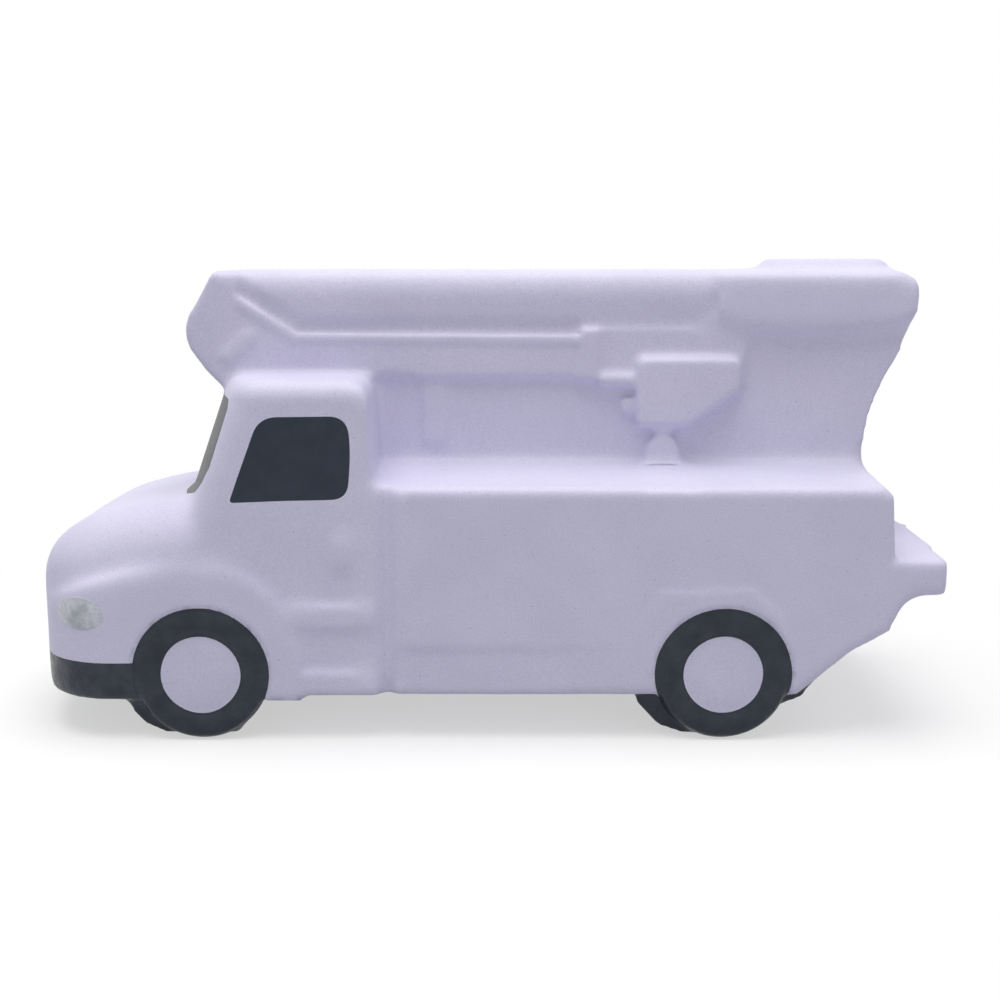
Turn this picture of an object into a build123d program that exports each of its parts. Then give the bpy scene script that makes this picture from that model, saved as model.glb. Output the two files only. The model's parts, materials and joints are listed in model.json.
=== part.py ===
from build123d import *
from math import cos, radians, sin, tan
import os

os.makedirs("parts", exist_ok=True)

# Foam toy bucket truck: X runs from nose to tail, Y across, Z up from the ground
# The toy is moulded in two halves that part on the plane Y = 0

# Overall sizes
overall_length = 120.0
overall_width = 42.0
side_inset = 0.3
mould_draft = 3.5
cut_overrun = 2.0
nose_x = -overall_length / 2
tail_x = overall_length / 2
half_width = overall_width / 2
body_half_width = half_width - side_inset

# Wheels, moulded into the sides
front_axle_station = 24.0
rear_axle_station = 28.8
tyre_radius = 8.7
tyre_width = 8.0
shoulder_width = 1.3
bead_width = 0.9
hub_radius = 5.1
hub_recess = 0.35
front_axle_x = nose_x + front_axle_station
rear_axle_x = tail_x - rear_axle_station
wheelbase = rear_axle_x - front_axle_x

# Axle lumps, as outlines in shares of the tyre radius round each axle
axle_inset = 2.2
front_lump_shares = (
    (-1.3, 0.72),
    (-1.13, 0.45),
    (-0.9, 0.17),
    (-0.6, 0.04),
    (0.5, 0.04),
    (0.76, 0.36),
    (0.95, 0.72),
)
rear_lump_shares = (
    (-1.3, 0.75),
    (-1.24, 0.5),
    (-0.94, 0.16),
    (-0.56, 0.02),
    (0.25, 0.02),
    (0.8, 0.42),
    (1.22, 0.6),
    (1.5, 1.0),
    (0.8, 1.0),
)

# Hood and nose
hood_length = 20.9
hood_height = 31.6
nose_top_height = 19.6
nose_plan_radius = 38.0
nose_corner_radius = 10.0
hood_edge_radius = 7.5
hood_front_half_width = 18.0
lower_edge_height = 5.2
cab_bottom_height = 5.8
cab_side_inset = 0.6
cowl_overlap = 5.0
hood_mid_share = 0.27
hood_rise_share = 0.56
hood_half_width = body_half_width - cab_side_inset
windscreen_base_x = nose_x + hood_length

# Cab
cab_length = 26.6
roof_height = 46.4
windscreen_rake = 19.5
windscreen_plan_radius = 54.0
roof_edge_radius = 2.6
cab_corner_radius = 3.4
cab_rear_lean = 1.6
cab_rear_x = windscreen_base_x + cab_length

# Service body with ledges that slope down outwards, and the groove between it and the cab
service_height = 35.0
ledge_edge_height = 33.0
service_edge = 0.7
skirt_height = 4.65
body_lap = 2.2
rear_lean = 0.4
ledge_fall = 3.8
groove_width = 3.2
groove_depth = 1.1
groove_shift = 0.5
skirt_line_height = 12.2
skirt_line_length = 33.0
skirt_line_depth = 0.35
arch_proud = 0.2
arch_panel_shares = ((-1.02, 0.0), (-1.02, 0.92), (-0.96, 1.25), (0.37, 1.29), (0.8, 0.92), (1.02, 0.0))
service_front_x = cab_rear_x - body_lap

# Tail shelf and the underside between it and the rear wheels
tail_length = 7.4
tail_top_height = 24.4
tail_thickness = 6.0
tail_edge = 0.5
tail_root_radius = 3.4
tail_root_reach = 4.4
underside_shares = ((0.893, 0.513), (0.804, 0.441), (0.682, 0.283), (0.472, 0.0))
underside_corner_share = 0.663
service_rear_x = tail_x - tail_length
tail_bottom_height = tail_top_height - tail_thickness

# Booms, folded over the cab, and the web that joins them to the body
boom_stack_height = 13.4
upper_boom_depth = 7.6
lower_boom_depth = 5.8
boom_half_width = 8.4
boom_lean = 0.8
boom_edge_radius = 1.3
boom_end_chamfer = 0.7
boom_step = 0.6
lower_boom_half_width = 8.2
web_half_width = 7.2
web_rear_inset = 1.1
web_flare_rise = 16.0
web_flare_share = 0.46
web_flare_rise_share = 0.58
boom_top_height = roof_height + boom_stack_height
upper_boom_bottom = boom_top_height - upper_boom_depth
lower_boom_top = upper_boom_bottom - boom_step
lower_boom_bottom = lower_boom_top - lower_boom_depth
upper_boom_foot_half_width = boom_half_width - boom_lean
web_rear_x = service_rear_x - web_rear_inset

# Elbow where the booms fold, standing on the front of the roof
elbow_setback = 0.2
elbow_length = 14.6
elbow_foot_drop = 2.2
elbow_chin_shares = ((0.33, 0.0), (0.17, 0.155), (0.035, 0.33))
elbow_nose_share = 0.43
elbow_brow_shares = ((0.085, 0.7), (0.23, 0.945))
elbow_rear_share = 0.525
strap_width = 1.7
strap_length = 5.4
strap_proud = 0.35
strap_angle = 43.0
strap_centre_shares = (0.47, 0.36)
elbow_front_x = windscreen_base_x + elbow_setback
elbow_rear_x = elbow_front_x + elbow_length
elbow_foot_height = roof_height - elbow_foot_drop
elbow_height = boom_top_height - elbow_foot_height

# Bucket at the rear end of the upper boom
bucket_length = 26.2
bucket_rear_inset = 2.4
bucket_depth = 6.8
bucket_proud = 0.4
bucket_belly_drop = 1.2
bucket_belly_share = 0.38
bucket_toe_cut = 0.4
bucket_corner_radius = 3.0
rim_height = 1.4
rim_length = 17.2
rim_half_width = 5.6
rim_edge = 0.8
rim_corner_radius = 2.6
rim_taper = 14.0
rim_place_share = 0.575
bucket_rear_x = tail_x - bucket_rear_inset
bucket_front_x = bucket_rear_x - bucket_length

# Turret under the bucket, with its bracket, plate, lift cylinder and turntable
turret_length = 13.9
turret_overlap = 3.0
turret_drop = 3.6
turret_half_width = 9.7
turret_edge = 0.6
turret_corner_radius = 1.2
turret_rear_share = 0.46
turret_foot_share = 0.48
turntable_height = 4.0
turntable_gap = 0.6
turntable_diameter = 4.7
turntable_half_width = 9.2
turntable_place_share = 0.26
plate_half_width = 8.0
plate_depth = 7.8
plate_rear_lap = 0.7
bracket_width = 3.1
bracket_height = 6.7
bracket_gap = 4.8
bracket_half_width = 8.6
cylinder_length = 4.6
cylinder_diameter = 2.3
cylinder_drop = 5.6
cylinder_half_width = 8.9
lug_width = 2.1
lug_height = 2.3
lug_gap = 1.2
lug_half_width = 8.2
turret_front_x = bucket_front_x + turret_overlap - turret_length
turret_rear_x = turret_front_x + turret_length
turret_top = upper_boom_bottom - turret_drop
turret_bottom = service_height + turntable_height
bracket_rear_x = turret_front_x - bracket_gap
bracket_x = bracket_rear_x - bracket_width
cylinder_top = upper_boom_bottom - cylinder_drop
cylinder_bottom = cylinder_top - cylinder_diameter

# Boom rest behind the cab
rest_width = 2.9
rest_inset = 4.8
rest_foot_rise = 1.4
rest_half_width = 7.6
rest_x = cab_rear_x + rest_inset

# Steps and door handles on the cab sides
step_length = 11.2
step_height = 3.3
upper_step_bottom = 14.6
lower_step_bottom = 5.85
step_proud = 0.6
step_edge = 0.3
step_rear_inset = 0.9
handle_length = 2.3
handle_height = 4.4
handle_bottom = 22.4
handle_rear_inset = 3.9
handle_proud = 0.5
handle_edge = 0.3

# Painted zones
paint_depth = 0.8
bumper_height = 5.1
bumper_thickness = 2.4
headlight_length = 6.9
headlight_height = 4.2
headlight_station = 8.6
headlight_centre_height = 16.6
window_length = 15.6
window_height = 11.1
window_bottom = 31.0
window_rear_inset = 3.8
window_corner_radius = 1.4
window_outline_shares = ((0.0, 0.0), (0.24, 0.94), (1.0, 1.0), (0.98, 0.2), (0.79, 0.03))
windscreen_bottom = 30.4
windscreen_top = 43.9
windscreen_half_width = 18.3

# Fender flares, round the front wheels at the rear and falling to the nose in front
flare_radius = 13.0
flare_centre_rise = 1.3
flare_nose_height = 15.0

# Plans of the nose seen from above, one for the fenders and one for the narrower hood
with BuildPart() as fender_plan_form:
    with BuildSketch(Plane.XY) as fender_plan:
        with BuildLine():
            nose_sag = nose_plan_radius - (nose_plan_radius**2 - body_half_width**2) ** 0.5
            fender_corner_x = nose_x + nose_sag
            fender_corner = (fender_corner_x, body_half_width)
            ThreePointArc(fender_corner, (nose_x, 0), (fender_corner_x, -body_half_width))
            Polyline(
                (fender_corner_x, -body_half_width),
                (tail_x, -body_half_width),
                (tail_x, body_half_width),
                fender_corner,
            )
        make_face()
        fillet(fender_plan.vertices().group_by(Axis.X)[0], nose_corner_radius)
    extrude(amount=boom_top_height)

with BuildPart() as hood_plan_form:
    with BuildSketch(Plane.XY) as hood_plan:
        with BuildLine():
            hood_sag = nose_plan_radius - (nose_plan_radius**2 - hood_front_half_width**2) ** 0.5
            hood_corner_x = nose_x + hood_sag
            hood_corner = (hood_corner_x, hood_front_half_width)
            ThreePointArc(hood_corner, (nose_x, 0), (hood_corner_x, -hood_front_half_width))
            Polyline(
                (hood_corner_x, -hood_front_half_width),
                (windscreen_base_x, -hood_half_width),
                (tail_x, -hood_half_width),
                (tail_x, hood_half_width),
                (windscreen_base_x, hood_half_width),
                hood_corner,
            )
        make_face()
        fillet(hood_plan.vertices().group_by(Axis.X)[0], nose_corner_radius)
    extrude(amount=boom_top_height)

# Space that the four wheels take up in the body
wheel_space_width = tyre_width + cut_overrun
wheel_space_y = half_width - tyre_width + wheel_space_width / 2
with BuildPart() as wheel_space:
    with Locations(
        (front_axle_x, -wheel_space_y, tyre_radius),
        (front_axle_x, wheel_space_y, tyre_radius),
        (rear_axle_x, -wheel_space_y, tyre_radius),
        (rear_axle_x, wheel_space_y, tyre_radius),
    ):
        Cylinder(tyre_radius, wheel_space_width, rotation=(90, 0, 0))

# Vertical groove between the cab and the service body, V-shaped in plan
groove_x = cab_rear_x + groove_shift
with BuildPart() as body_groove:
    with BuildSketch(Plane.XY):
        with BuildLine():
            Polyline(
                (groove_x - groove_width / 2, -body_half_width),
                (groove_x, groove_depth - hood_half_width),
                (groove_x + groove_width / 2, -body_half_width),
                (groove_x + groove_width / 2, -half_width),
                (groove_x - groove_width / 2, -half_width),
                close=True,
            )
        make_face()
    extrude(amount=service_height)
    mirror(about=Plane.XZ)

# Cab form with a raked windscreen that bows forward in plan
windscreen_axis = Plane(
    origin=(
        windscreen_base_x + windscreen_plan_radius * cos(radians(windscreen_rake)),
        0,
        hood_height - windscreen_plan_radius * sin(radians(windscreen_rake)),
    ),
    x_dir=(0, 1, 0),
    z_dir=(sin(radians(windscreen_rake)), 0, cos(radians(windscreen_rake))),
)
with BuildPart() as cab_form:
    with BuildSketch(Plane.XZ):
        with BuildLine():
            Polyline(
                (windscreen_base_x, cab_bottom_height),
                (windscreen_base_x, roof_height),
                (cab_rear_x - cab_rear_lean, roof_height),
                (cab_rear_x, cab_bottom_height),
                close=True,
            )
        make_face()
    extrude(amount=hood_half_width, both=True)
    with Locations(windscreen_axis):
        Cylinder(windscreen_plan_radius, 4 * roof_height, mode=Mode.INTERSECT)
    front_corners = cab_form.faces().filter_by(GeomType.CYLINDER).edges().filter_by(GeomType.LINE)
    fillet(front_corners.filter_by(lambda e: abs(e.center().Y) > body_half_width / 2), cab_corner_radius)
    fillet(cab_form.faces().sort_by(Axis.Z)[-1].edges(), roof_edge_radius)

# Hood form, rounded over towards the fenders and the nose
cowl_rear_x = windscreen_base_x + cowl_overlap
with BuildPart() as hood_form:
    with BuildSketch(Plane.XZ):
        with BuildLine():
            hood_rise = hood_height - nose_top_height
            hood_front = (nose_x - cut_overrun, nose_top_height - cut_overrun)
            hood_mid = (nose_x + hood_mid_share * hood_length, nose_top_height + hood_rise_share * hood_rise)
            hood_end = (cowl_rear_x, hood_height)
            Spline(hood_front, hood_mid, hood_end, tangents=((0.5, 1), (1, 0.25)))
            Polyline(
                hood_end,
                (cowl_rear_x, lower_edge_height),
                (nose_x - cut_overrun, lower_edge_height),
                hood_front,
            )
        make_face()
    extrude(amount=half_width, both=True)
    add(hood_plan_form.part, mode=Mode.INTERSECT)
    hood_top = hood_form.faces().sort_by(Axis.Z)[-1]
    fillet(hood_top.edges().filter_by(lambda e: e.center().X < windscreen_base_x), hood_edge_radius)

# Service body form, drafted from the parting plane outwards
draft_run = body_half_width * tan(radians(mould_draft))
rear_overhang = service_rear_x - rear_axle_x
underside_rise = tail_bottom_height - skirt_height
with BuildPart() as service_form:
    with BuildSketch(Plane.XZ):
        with BuildLine():
            Polyline(
                (service_front_x, skirt_height),
                (service_front_x, service_height + draft_run),
                (service_rear_x + rear_lean, service_height + draft_run),
                (service_rear_x + draft_run, tail_top_height),
                (service_rear_x + draft_run, skirt_height + underside_corner_share * underside_rise),
                *[
                    (rear_axle_x + along * rear_overhang, skirt_height + up * underside_rise)
                    for along, up in underside_shares
                ],
                close=True,
            )
        service_side = make_face()
        chamfer(service_side.vertices().group_by(Axis.Y)[-1].sort_by(Axis.X)[-1], ledge_fall)
    extrude(amount=body_half_width, both=True, taper=mould_draft)
    with BuildSketch(Plane.YZ.offset(service_front_x)):
        with BuildLine():
            Polyline(
                (-body_half_width, 0),
                (-body_half_width, ledge_edge_height),
                (0, service_height),
                (body_half_width, ledge_edge_height),
                (body_half_width, 0),
                close=True,
            )
        make_face()
    extrude(amount=overall_length, mode=Mode.INTERSECT)
    outer_faces = service_form.faces().filter_by(Axis.Y)
    chamfer(outer_faces.edges(), service_edge)

# Tail shelf form, right across the rear
with BuildPart() as tail_form:
    with BuildSketch(Plane.XZ):
        with BuildLine():
            tail_root_x = service_rear_x + tail_root_reach
            tail_root_z = tail_bottom_height - tail_root_radius
            tail_root = CenterArc((tail_root_x, tail_root_z), tail_root_radius, 90, 90)
            Polyline(
                tail_root @ 1,
                (service_rear_x - cut_overrun, tail_root_z),
                (service_rear_x - cut_overrun, tail_top_height),
                (tail_x, tail_top_height),
                (tail_x, tail_bottom_height),
                tail_root @ 0,
            )
        make_face()
    extrude(amount=body_half_width, both=True, taper=mould_draft / 2)
    chamfer(tail_form.faces().filter_by(Axis.Y).edges(), tail_edge)

# Front elbow of the booms, cut off behind along the slanted end of the upper boom
with BuildPart() as elbow_form:
    with BuildSketch(Plane.XZ) as elbow_outline:
        with BuildLine():
            chin = [
                (elbow_front_x + along * elbow_length, elbow_foot_height + up * elbow_height)
                for along, up in elbow_chin_shares
            ]
            brow = [
                (elbow_front_x + along * elbow_length, elbow_foot_height + up * elbow_height)
                for along, up in elbow_brow_shares
            ]
            elbow_tip = (elbow_front_x, elbow_foot_height + elbow_nose_share * elbow_height)
            Polyline(*chin)
            ThreePointArc(chin[-1], elbow_tip, brow[0])
            Polyline(
                *brow,
                (elbow_rear_x, elbow_foot_height + elbow_rear_share * elbow_height),
                (elbow_rear_x, elbow_foot_height),
                chin[0],
            )
        make_face()
    extrude(amount=lower_boom_half_width, both=True)

# Room that the elbow takes out of the upper boom, right across
with BuildPart() as elbow_room:
    extrude(elbow_outline.sketch, amount=half_width, both=True)

# Upper boom with sides that lean inwards towards its lower edge
boom_front_x = elbow_front_x + elbow_brow_shares[-1][0] * elbow_length
with BuildPart() as upper_boom:
    with BuildSketch(Plane.XZ) as boom_side:
        with Locations((boom_front_x, boom_top_height)):
            boom_length = bucket_front_x - boom_front_x
            Rectangle(boom_length, upper_boom_depth, align=(Align.MIN, Align.MAX))
        chamfer(boom_side.vertices().group_by(Axis.Y)[-1].sort_by(Axis.X)[0], boom_end_chamfer)
    extrude(amount=half_width, both=True)
    with BuildSketch(Plane.YZ.offset(boom_front_x)):
        with BuildLine():
            Polyline(
                (-boom_half_width, boom_top_height),
                (boom_half_width, boom_top_height),
                (upper_boom_foot_half_width, upper_boom_bottom),
                (-upper_boom_foot_half_width, upper_boom_bottom),
                close=True,
            )
        upper_section = make_face()
        fillet(upper_section.vertices().group_by(Axis.Y)[-1], boom_edge_radius)
    extrude(amount=boom_length, mode=Mode.INTERSECT)
    add(elbow_room.part, mode=Mode.SUBTRACT)
upper_boom.part.label = "upper_boom"
export_step(upper_boom.part, "parts/upper_boom.step")

# Bucket lying along the rear end of the upper boom, with its rim as a low lump on top
bucket_half_width = boom_half_width + bucket_proud
bucket_bottom = boom_top_height - bucket_depth
with BuildPart() as bucket_form:
    with BuildSketch(Plane.XZ):
        with BuildLine():
            belly_x = bucket_front_x + bucket_belly_share * bucket_length
            lower_line = ThreePointArc(
                (bucket_front_x, bucket_bottom),
                (belly_x, bucket_bottom - bucket_belly_drop),
                (bucket_rear_x - bucket_toe_cut, bucket_bottom),
            )
            Polyline(
                lower_line @ 1,
                (bucket_rear_x, (bucket_bottom + boom_top_height) / 2),
                (bucket_rear_x, boom_top_height),
                (bucket_front_x, boom_top_height),
                lower_line @ 0,
            )
        bucket_side = make_face()
        top_rear_corner = bucket_side.vertices().group_by(Axis.Y)[-1].sort_by(Axis.X)[-1]
        fillet(top_rear_corner, bucket_corner_radius)
    extrude(amount=bucket_half_width, both=True)
    fillet(bucket_form.faces().sort_by(Axis.Z)[-1].edges().filter_by(Axis.X), boom_edge_radius)

with BuildPart() as bucket:
    add(bucket_form.part)
    rim_centre_x = bucket_front_x + rim_place_share * bucket_length
    with BuildSketch(Plane.XY.offset(boom_top_height - rim_height)):
        with Locations((rim_centre_x, 0)):
            RectangleRounded(rim_length, 2 * rim_half_width, rim_corner_radius)
    extrude(amount=2 * rim_height, taper=rim_taper)
    chamfer(bucket.faces().sort_by(Axis.Z)[-1].edges(), rim_edge)
bucket.part.label = "bucket"
export_step(bucket.part, "parts/bucket.step")

# Elbow with a raised strap on each side
with BuildPart() as elbow:
    add(elbow_form.part)
    with BuildSketch(Plane.XZ):
        strap_along, strap_up = strap_centre_shares
        strap_x = elbow_front_x + strap_along * elbow_length
        with Locations((strap_x, elbow_foot_height + strap_up * elbow_height)):
            SlotOverall(strap_length, strap_width, rotation=strap_angle)
    extrude(amount=lower_boom_half_width + strap_proud, both=True)
    add(cab_form.part, mode=Mode.SUBTRACT)
elbow.part.label = "elbow"
export_step(elbow.part, "parts/elbow.step")

# Lower boom, lying on the cab roof and folded under the upper boom
with BuildPart() as lower_boom:
    with BuildSketch(Plane.YZ.offset(elbow_rear_x)):
        with BuildLine():
            Polyline(
                (-lower_boom_half_width, lower_boom_top),
                (-upper_boom_foot_half_width, upper_boom_bottom),
                (upper_boom_foot_half_width, upper_boom_bottom),
                (lower_boom_half_width, lower_boom_top),
                (lower_boom_half_width, lower_boom_bottom),
                (-lower_boom_half_width, lower_boom_bottom),
                close=True,
            )
        make_face()
    extrude(amount=bracket_x - elbow_rear_x)
    add(cab_form.part, mode=Mode.SUBTRACT)
lower_boom.part.label = "lower_boom"
export_step(lower_boom.part, "parts/lower_boom.step")

# Turret box, with its rear lower corner cut on a slant
with BuildPart() as turret:
    with BuildSketch(Plane.XZ):
        with BuildLine():
            Polyline(
                (turret_front_x, turret_bottom),
                (turret_front_x, turret_top),
                (turret_rear_x, turret_top),
                (turret_rear_x, turret_top - turret_rear_share * (turret_top - turret_bottom)),
                (turret_front_x + turret_foot_share * turret_length, turret_bottom),
                close=True,
            )
        turret_side = make_face()
        fillet(turret_side.vertices().group_by(Axis.Y)[-1], turret_corner_radius)
    extrude(amount=turret_half_width, both=True)
    chamfer(turret.faces().filter_by(Axis.Y).edges(), turret_edge)
turret.part.label = "turret"
export_step(turret.part, "parts/turret.step")

# Turntable, a round-topped foot between the ledge and the turret
with BuildPart() as turntable:
    with BuildSketch(Plane.XZ):
        turntable_x = turret_front_x + turret_length * turntable_place_share
        crown_height = turret_bottom - turntable_gap - turntable_diameter / 2
        with Locations((turntable_x, crown_height)):
            Circle(turntable_diameter / 2)
            Rectangle(turntable_diameter, turntable_height, align=(Align.CENTER, Align.MAX))
    extrude(amount=turntable_half_width, both=True)
    add(service_form.part, mode=Mode.SUBTRACT)
turntable.part.label = "turntable"
export_step(turntable.part, "parts/turntable.step")

# Lift cylinder between the bracket and the turret
with BuildPart() as lift_cylinder:
    with BuildSketch(Plane.YZ.offset(bracket_rear_x)):
        with Locations((0, cylinder_top - cylinder_diameter / 2)):
            SlotOverall(2 * cylinder_half_width, cylinder_diameter)
    extrude(amount=cylinder_length)
lift_cylinder.part.label = "lift_cylinder"
export_step(lift_cylinder.part, "parts/lift_cylinder.step")

# Boom bracket, and the plate that joins it to the turret
with BuildPart() as boom_bracket:
    with BuildSketch(Plane.XZ):
        with Locations((bracket_x, upper_boom_bottom)):
            Rectangle(bracket_width, bracket_height, align=(Align.MIN, Align.MAX))
    extrude(amount=bracket_half_width, both=True)
    chamfer(boom_bracket.faces().filter_by(Axis.Y).edges().filter_by(Axis.Z), step_edge)
boom_bracket.part.label = "boom_bracket"
export_step(boom_bracket.part, "parts/boom_bracket.step")

with BuildPart() as boom_plate:
    with BuildSketch(Plane.XZ):
        with Locations((bracket_rear_x, upper_boom_bottom)):
            plate_length = turret_rear_x + plate_rear_lap - bracket_rear_x
            Rectangle(plate_length, plate_depth, align=(Align.MIN, Align.MAX))
    extrude(amount=plate_half_width, both=True)
    for cut in (turret, bucket_form, lift_cylinder):
        add(cut.part, mode=Mode.SUBTRACT)
boom_plate.part.label = "boom_plate"
export_step(boom_plate.part, "parts/boom_plate.step")

# Lug of the lift cylinder, on the front of the turret
with BuildPart() as cylinder_lug:
    with BuildSketch(Plane.XZ):
        with Locations((turret_front_x, cylinder_bottom - lug_gap)):
            Rectangle(lug_width, lug_height, align=(Align.MAX, Align.MAX))
    extrude(amount=lug_half_width, both=True)
    chamfer(cylinder_lug.faces().filter_by(Axis.Y).edges(), step_edge)
cylinder_lug.part.label = "cylinder_lug"
export_step(cylinder_lug.part, "parts/cylinder_lug.step")

# Boom rest, a flat post between the ledge and the lower boom
with BuildPart() as boom_rest:
    with BuildSketch(Plane.XZ):
        with Locations((rest_x, lower_boom_bottom)):
            rest_height = lower_boom_bottom - service_height - rest_foot_rise
            Rectangle(rest_width, rest_height, align=(Align.MIN, Align.MAX))
    extrude(amount=rest_half_width, both=True)
boom_rest.part.label = "boom_rest"
export_step(boom_rest.part, "parts/boom_rest.step")

# Web between the booms and the body, curving out to the bucket at the rear
with BuildPart() as boom_web:
    with BuildSketch(Plane.XZ):
        with BuildLine():
            web_top = (bucket_rear_x - bucket_toe_cut, bucket_bottom)
            web_waist = (web_rear_x, bucket_bottom - web_flare_rise)
            web_bend = (
                web_rear_x + web_flare_share * (web_top[0] - web_rear_x),
                web_waist[1] + web_flare_rise_share * web_flare_rise,
            )
            Spline(web_waist, web_bend, web_top, tangents=((0, 1), (0.3, 1)))
            Polyline(
                web_top,
                (elbow_rear_x, bucket_bottom),
                (elbow_rear_x, service_height - ledge_fall),
                (web_rear_x, service_height - ledge_fall),
                web_waist,
            )
        make_face()
    extrude(amount=web_half_width, both=True)
    for neighbour in (
        cab_form,
        service_form,
        upper_boom,
        bucket_form,
        lower_boom,
        turret,
        turntable,
        boom_bracket,
        boom_plate,
        lift_cylinder,
        cylinder_lug,
        boom_rest,
    ):
        add(neighbour.part, mode=Mode.SUBTRACT)
boom_web.part.label = "boom_web"
export_step(boom_web.part, "parts/boom_web.step")

# Fender flares round the front wheels
flare_centre_height = tyre_radius + flare_centre_rise
with BuildPart() as flare_form:
    with BuildSketch(Plane.XZ):
        with BuildLine():
            flare_arc = CenterArc((front_axle_x, flare_centre_height), flare_radius, 0, 90)
            flare_nose = (nose_x - cut_overrun, flare_nose_height)
            Spline(flare_nose, flare_arc @ 1, tangents=((1, 0.6), (1, 0)))
            Polyline(
                flare_arc @ 0,
                (front_axle_x + flare_radius, lower_edge_height),
                (nose_x - cut_overrun, lower_edge_height),
                flare_nose,
            )
        make_face()
    extrude(amount=half_width, both=True)
    add(fender_plan_form.part, mode=Mode.INTERSECT)
    add(hood_plan_form.part, mode=Mode.SUBTRACT)

# Door handles
with BuildPart() as door_handle_left:
    with BuildSketch(Plane.XZ.offset(hood_half_width)):
        with Locations((cab_rear_x - handle_rear_inset, handle_bottom)):
            Rectangle(handle_length, handle_height, align=(Align.MAX, Align.MIN))
    extrude(amount=handle_proud)
    chamfer(door_handle_left.faces().sort_by(Axis.Y)[0].edges(), handle_edge)
door_handle_left.part.label = "door_handle_left"
export_step(door_handle_left.part, "parts/door_handle_left.step")

with BuildPart() as door_handle_right:
    mirror(door_handle_left.part, about=Plane.XZ)
door_handle_right.part.label = "door_handle_right"
export_step(door_handle_right.part, "parts/door_handle_right.step")

# Windscreen, a painted layer in the bowed front of the cab
with BuildPart() as windscreen:
    add(cab_form.part)
    with Locations((paint_depth, 0, 0)):
        add(cab_form.part, mode=Mode.SUBTRACT)
    with BuildSketch(Plane.YZ.offset(nose_x)):
        with Locations((0, windscreen_bottom)):
            RectangleRounded(
                2 * windscreen_half_width,
                windscreen_top - windscreen_bottom,
                window_corner_radius,
                align=(Align.CENTER, Align.MIN),
            )
    extrude(amount=hood_length + cab_length / 2, mode=Mode.INTERSECT)
windscreen.part.label = "windscreen"
export_step(windscreen.part, "parts/windscreen.step")

# Side windows, painted layers in the cab sides
with BuildPart() as side_window_left:
    with BuildSketch(Plane.XZ.offset(hood_half_width - paint_depth)):
        window_front_x = cab_rear_x - window_rear_inset - window_length
        with BuildLine():
            Polyline(
                *[
                    (window_front_x + along * window_length, window_bottom + up * window_height)
                    for along, up in window_outline_shares
                ],
                close=True,
            )
        pane = make_face()
        fillet(pane.vertices(), window_corner_radius)
    extrude(amount=paint_depth)
side_window_left.part.label = "side_window_left"
export_step(side_window_left.part, "parts/side_window_left.step")

with BuildPart() as side_window_right:
    mirror(side_window_left.part, about=Plane.XZ)
side_window_right.part.label = "side_window_right"
export_step(side_window_right.part, "parts/side_window_right.step")

with BuildPart() as cab:
    add(cab_form.part)
    for cut in (wheel_space, body_groove, windscreen, side_window_left, side_window_right):
        add(cut.part, mode=Mode.SUBTRACT)
cab.part.label = "cab"
export_step(cab.part, "parts/cab.step")

# Bumper band wrapped round the nose
with BuildPart() as bumper:
    with BuildSketch(Plane.XY.offset(lower_edge_height)):
        add(fender_plan.sketch)
        offset(fender_plan.sketch, amount=-bumper_thickness, mode=Mode.SUBTRACT)
        with Locations((front_axle_x, 0)):
            Rectangle(overall_length, overall_width, align=(Align.MIN, Align.CENTER), mode=Mode.SUBTRACT)
    extrude(amount=bumper_height)
    add(wheel_space.part, mode=Mode.SUBTRACT)
bumper.part.label = "bumper"
export_step(bumper.part, "parts/bumper.step")

# Headlights, painted layers in the rounded corners of the fenders
with BuildPart() as headlights:
    with BuildSketch(Plane.XY):
        add(fender_plan.sketch)
        offset(fender_plan.sketch, amount=-paint_depth, mode=Mode.SUBTRACT)
    extrude(amount=hood_height)
    with BuildSketch(Plane.XZ):
        with Locations((nose_x + headlight_station, headlight_centre_height)):
            Ellipse(headlight_length / 2, headlight_height / 2)
    extrude(amount=half_width, both=True, mode=Mode.INTERSECT)

with BuildPart() as headlight_left:
    add(headlights.part.solids().sort_by(Axis.Y)[0])
headlight_left.part.label = "headlight_left"
export_step(headlight_left.part, "parts/headlight_left.step")

with BuildPart() as headlight_right:
    add(headlights.part.solids().sort_by(Axis.Y)[-1])
headlight_right.part.label = "headlight_right"
export_step(headlight_right.part, "parts/headlight_right.step")

with BuildPart() as hood_nose:
    add(hood_form.part)
    for cut in (cab_form, wheel_space, bumper, headlight_left, headlight_right):
        add(cut.part, mode=Mode.SUBTRACT)
hood_nose.part.label = "hood_nose"
export_step(hood_nose.part, "parts/hood_nose.step")

with BuildPart() as flares:
    add(flare_form.part)
    for cut in (wheel_space, bumper, headlight_left, headlight_right):
        add(cut.part, mode=Mode.SUBTRACT)

with BuildPart() as fender_left:
    add(flares.part.solids().sort_by(Axis.Y)[0])
fender_left.part.label = "fender_left"
export_step(fender_left.part, "parts/fender_left.step")

with BuildPart() as fender_right:
    add(flares.part.solids().sort_by(Axis.Y)[-1])
fender_right.part.label = "fender_right"
export_step(fender_right.part, "parts/fender_right.step")

# Steps under the doors
step_rear_x = cab_rear_x - step_rear_inset
with BuildPart() as upper_step_left:
    with BuildSketch(Plane.XZ.offset(hood_half_width)):
        with Locations((step_rear_x, upper_step_bottom)):
            Rectangle(step_length, step_height, align=(Align.MAX, Align.MIN))
    extrude(amount=step_proud)
    chamfer(upper_step_left.faces().sort_by(Axis.Y)[0].edges(), step_edge)
    add(fender_left.part, mode=Mode.SUBTRACT)
upper_step_left.part.label = "upper_step_left"
export_step(upper_step_left.part, "parts/upper_step_left.step")

with BuildPart() as upper_step_right:
    mirror(upper_step_left.part, about=Plane.XZ)
upper_step_right.part.label = "upper_step_right"
export_step(upper_step_right.part, "parts/upper_step_right.step")

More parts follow.
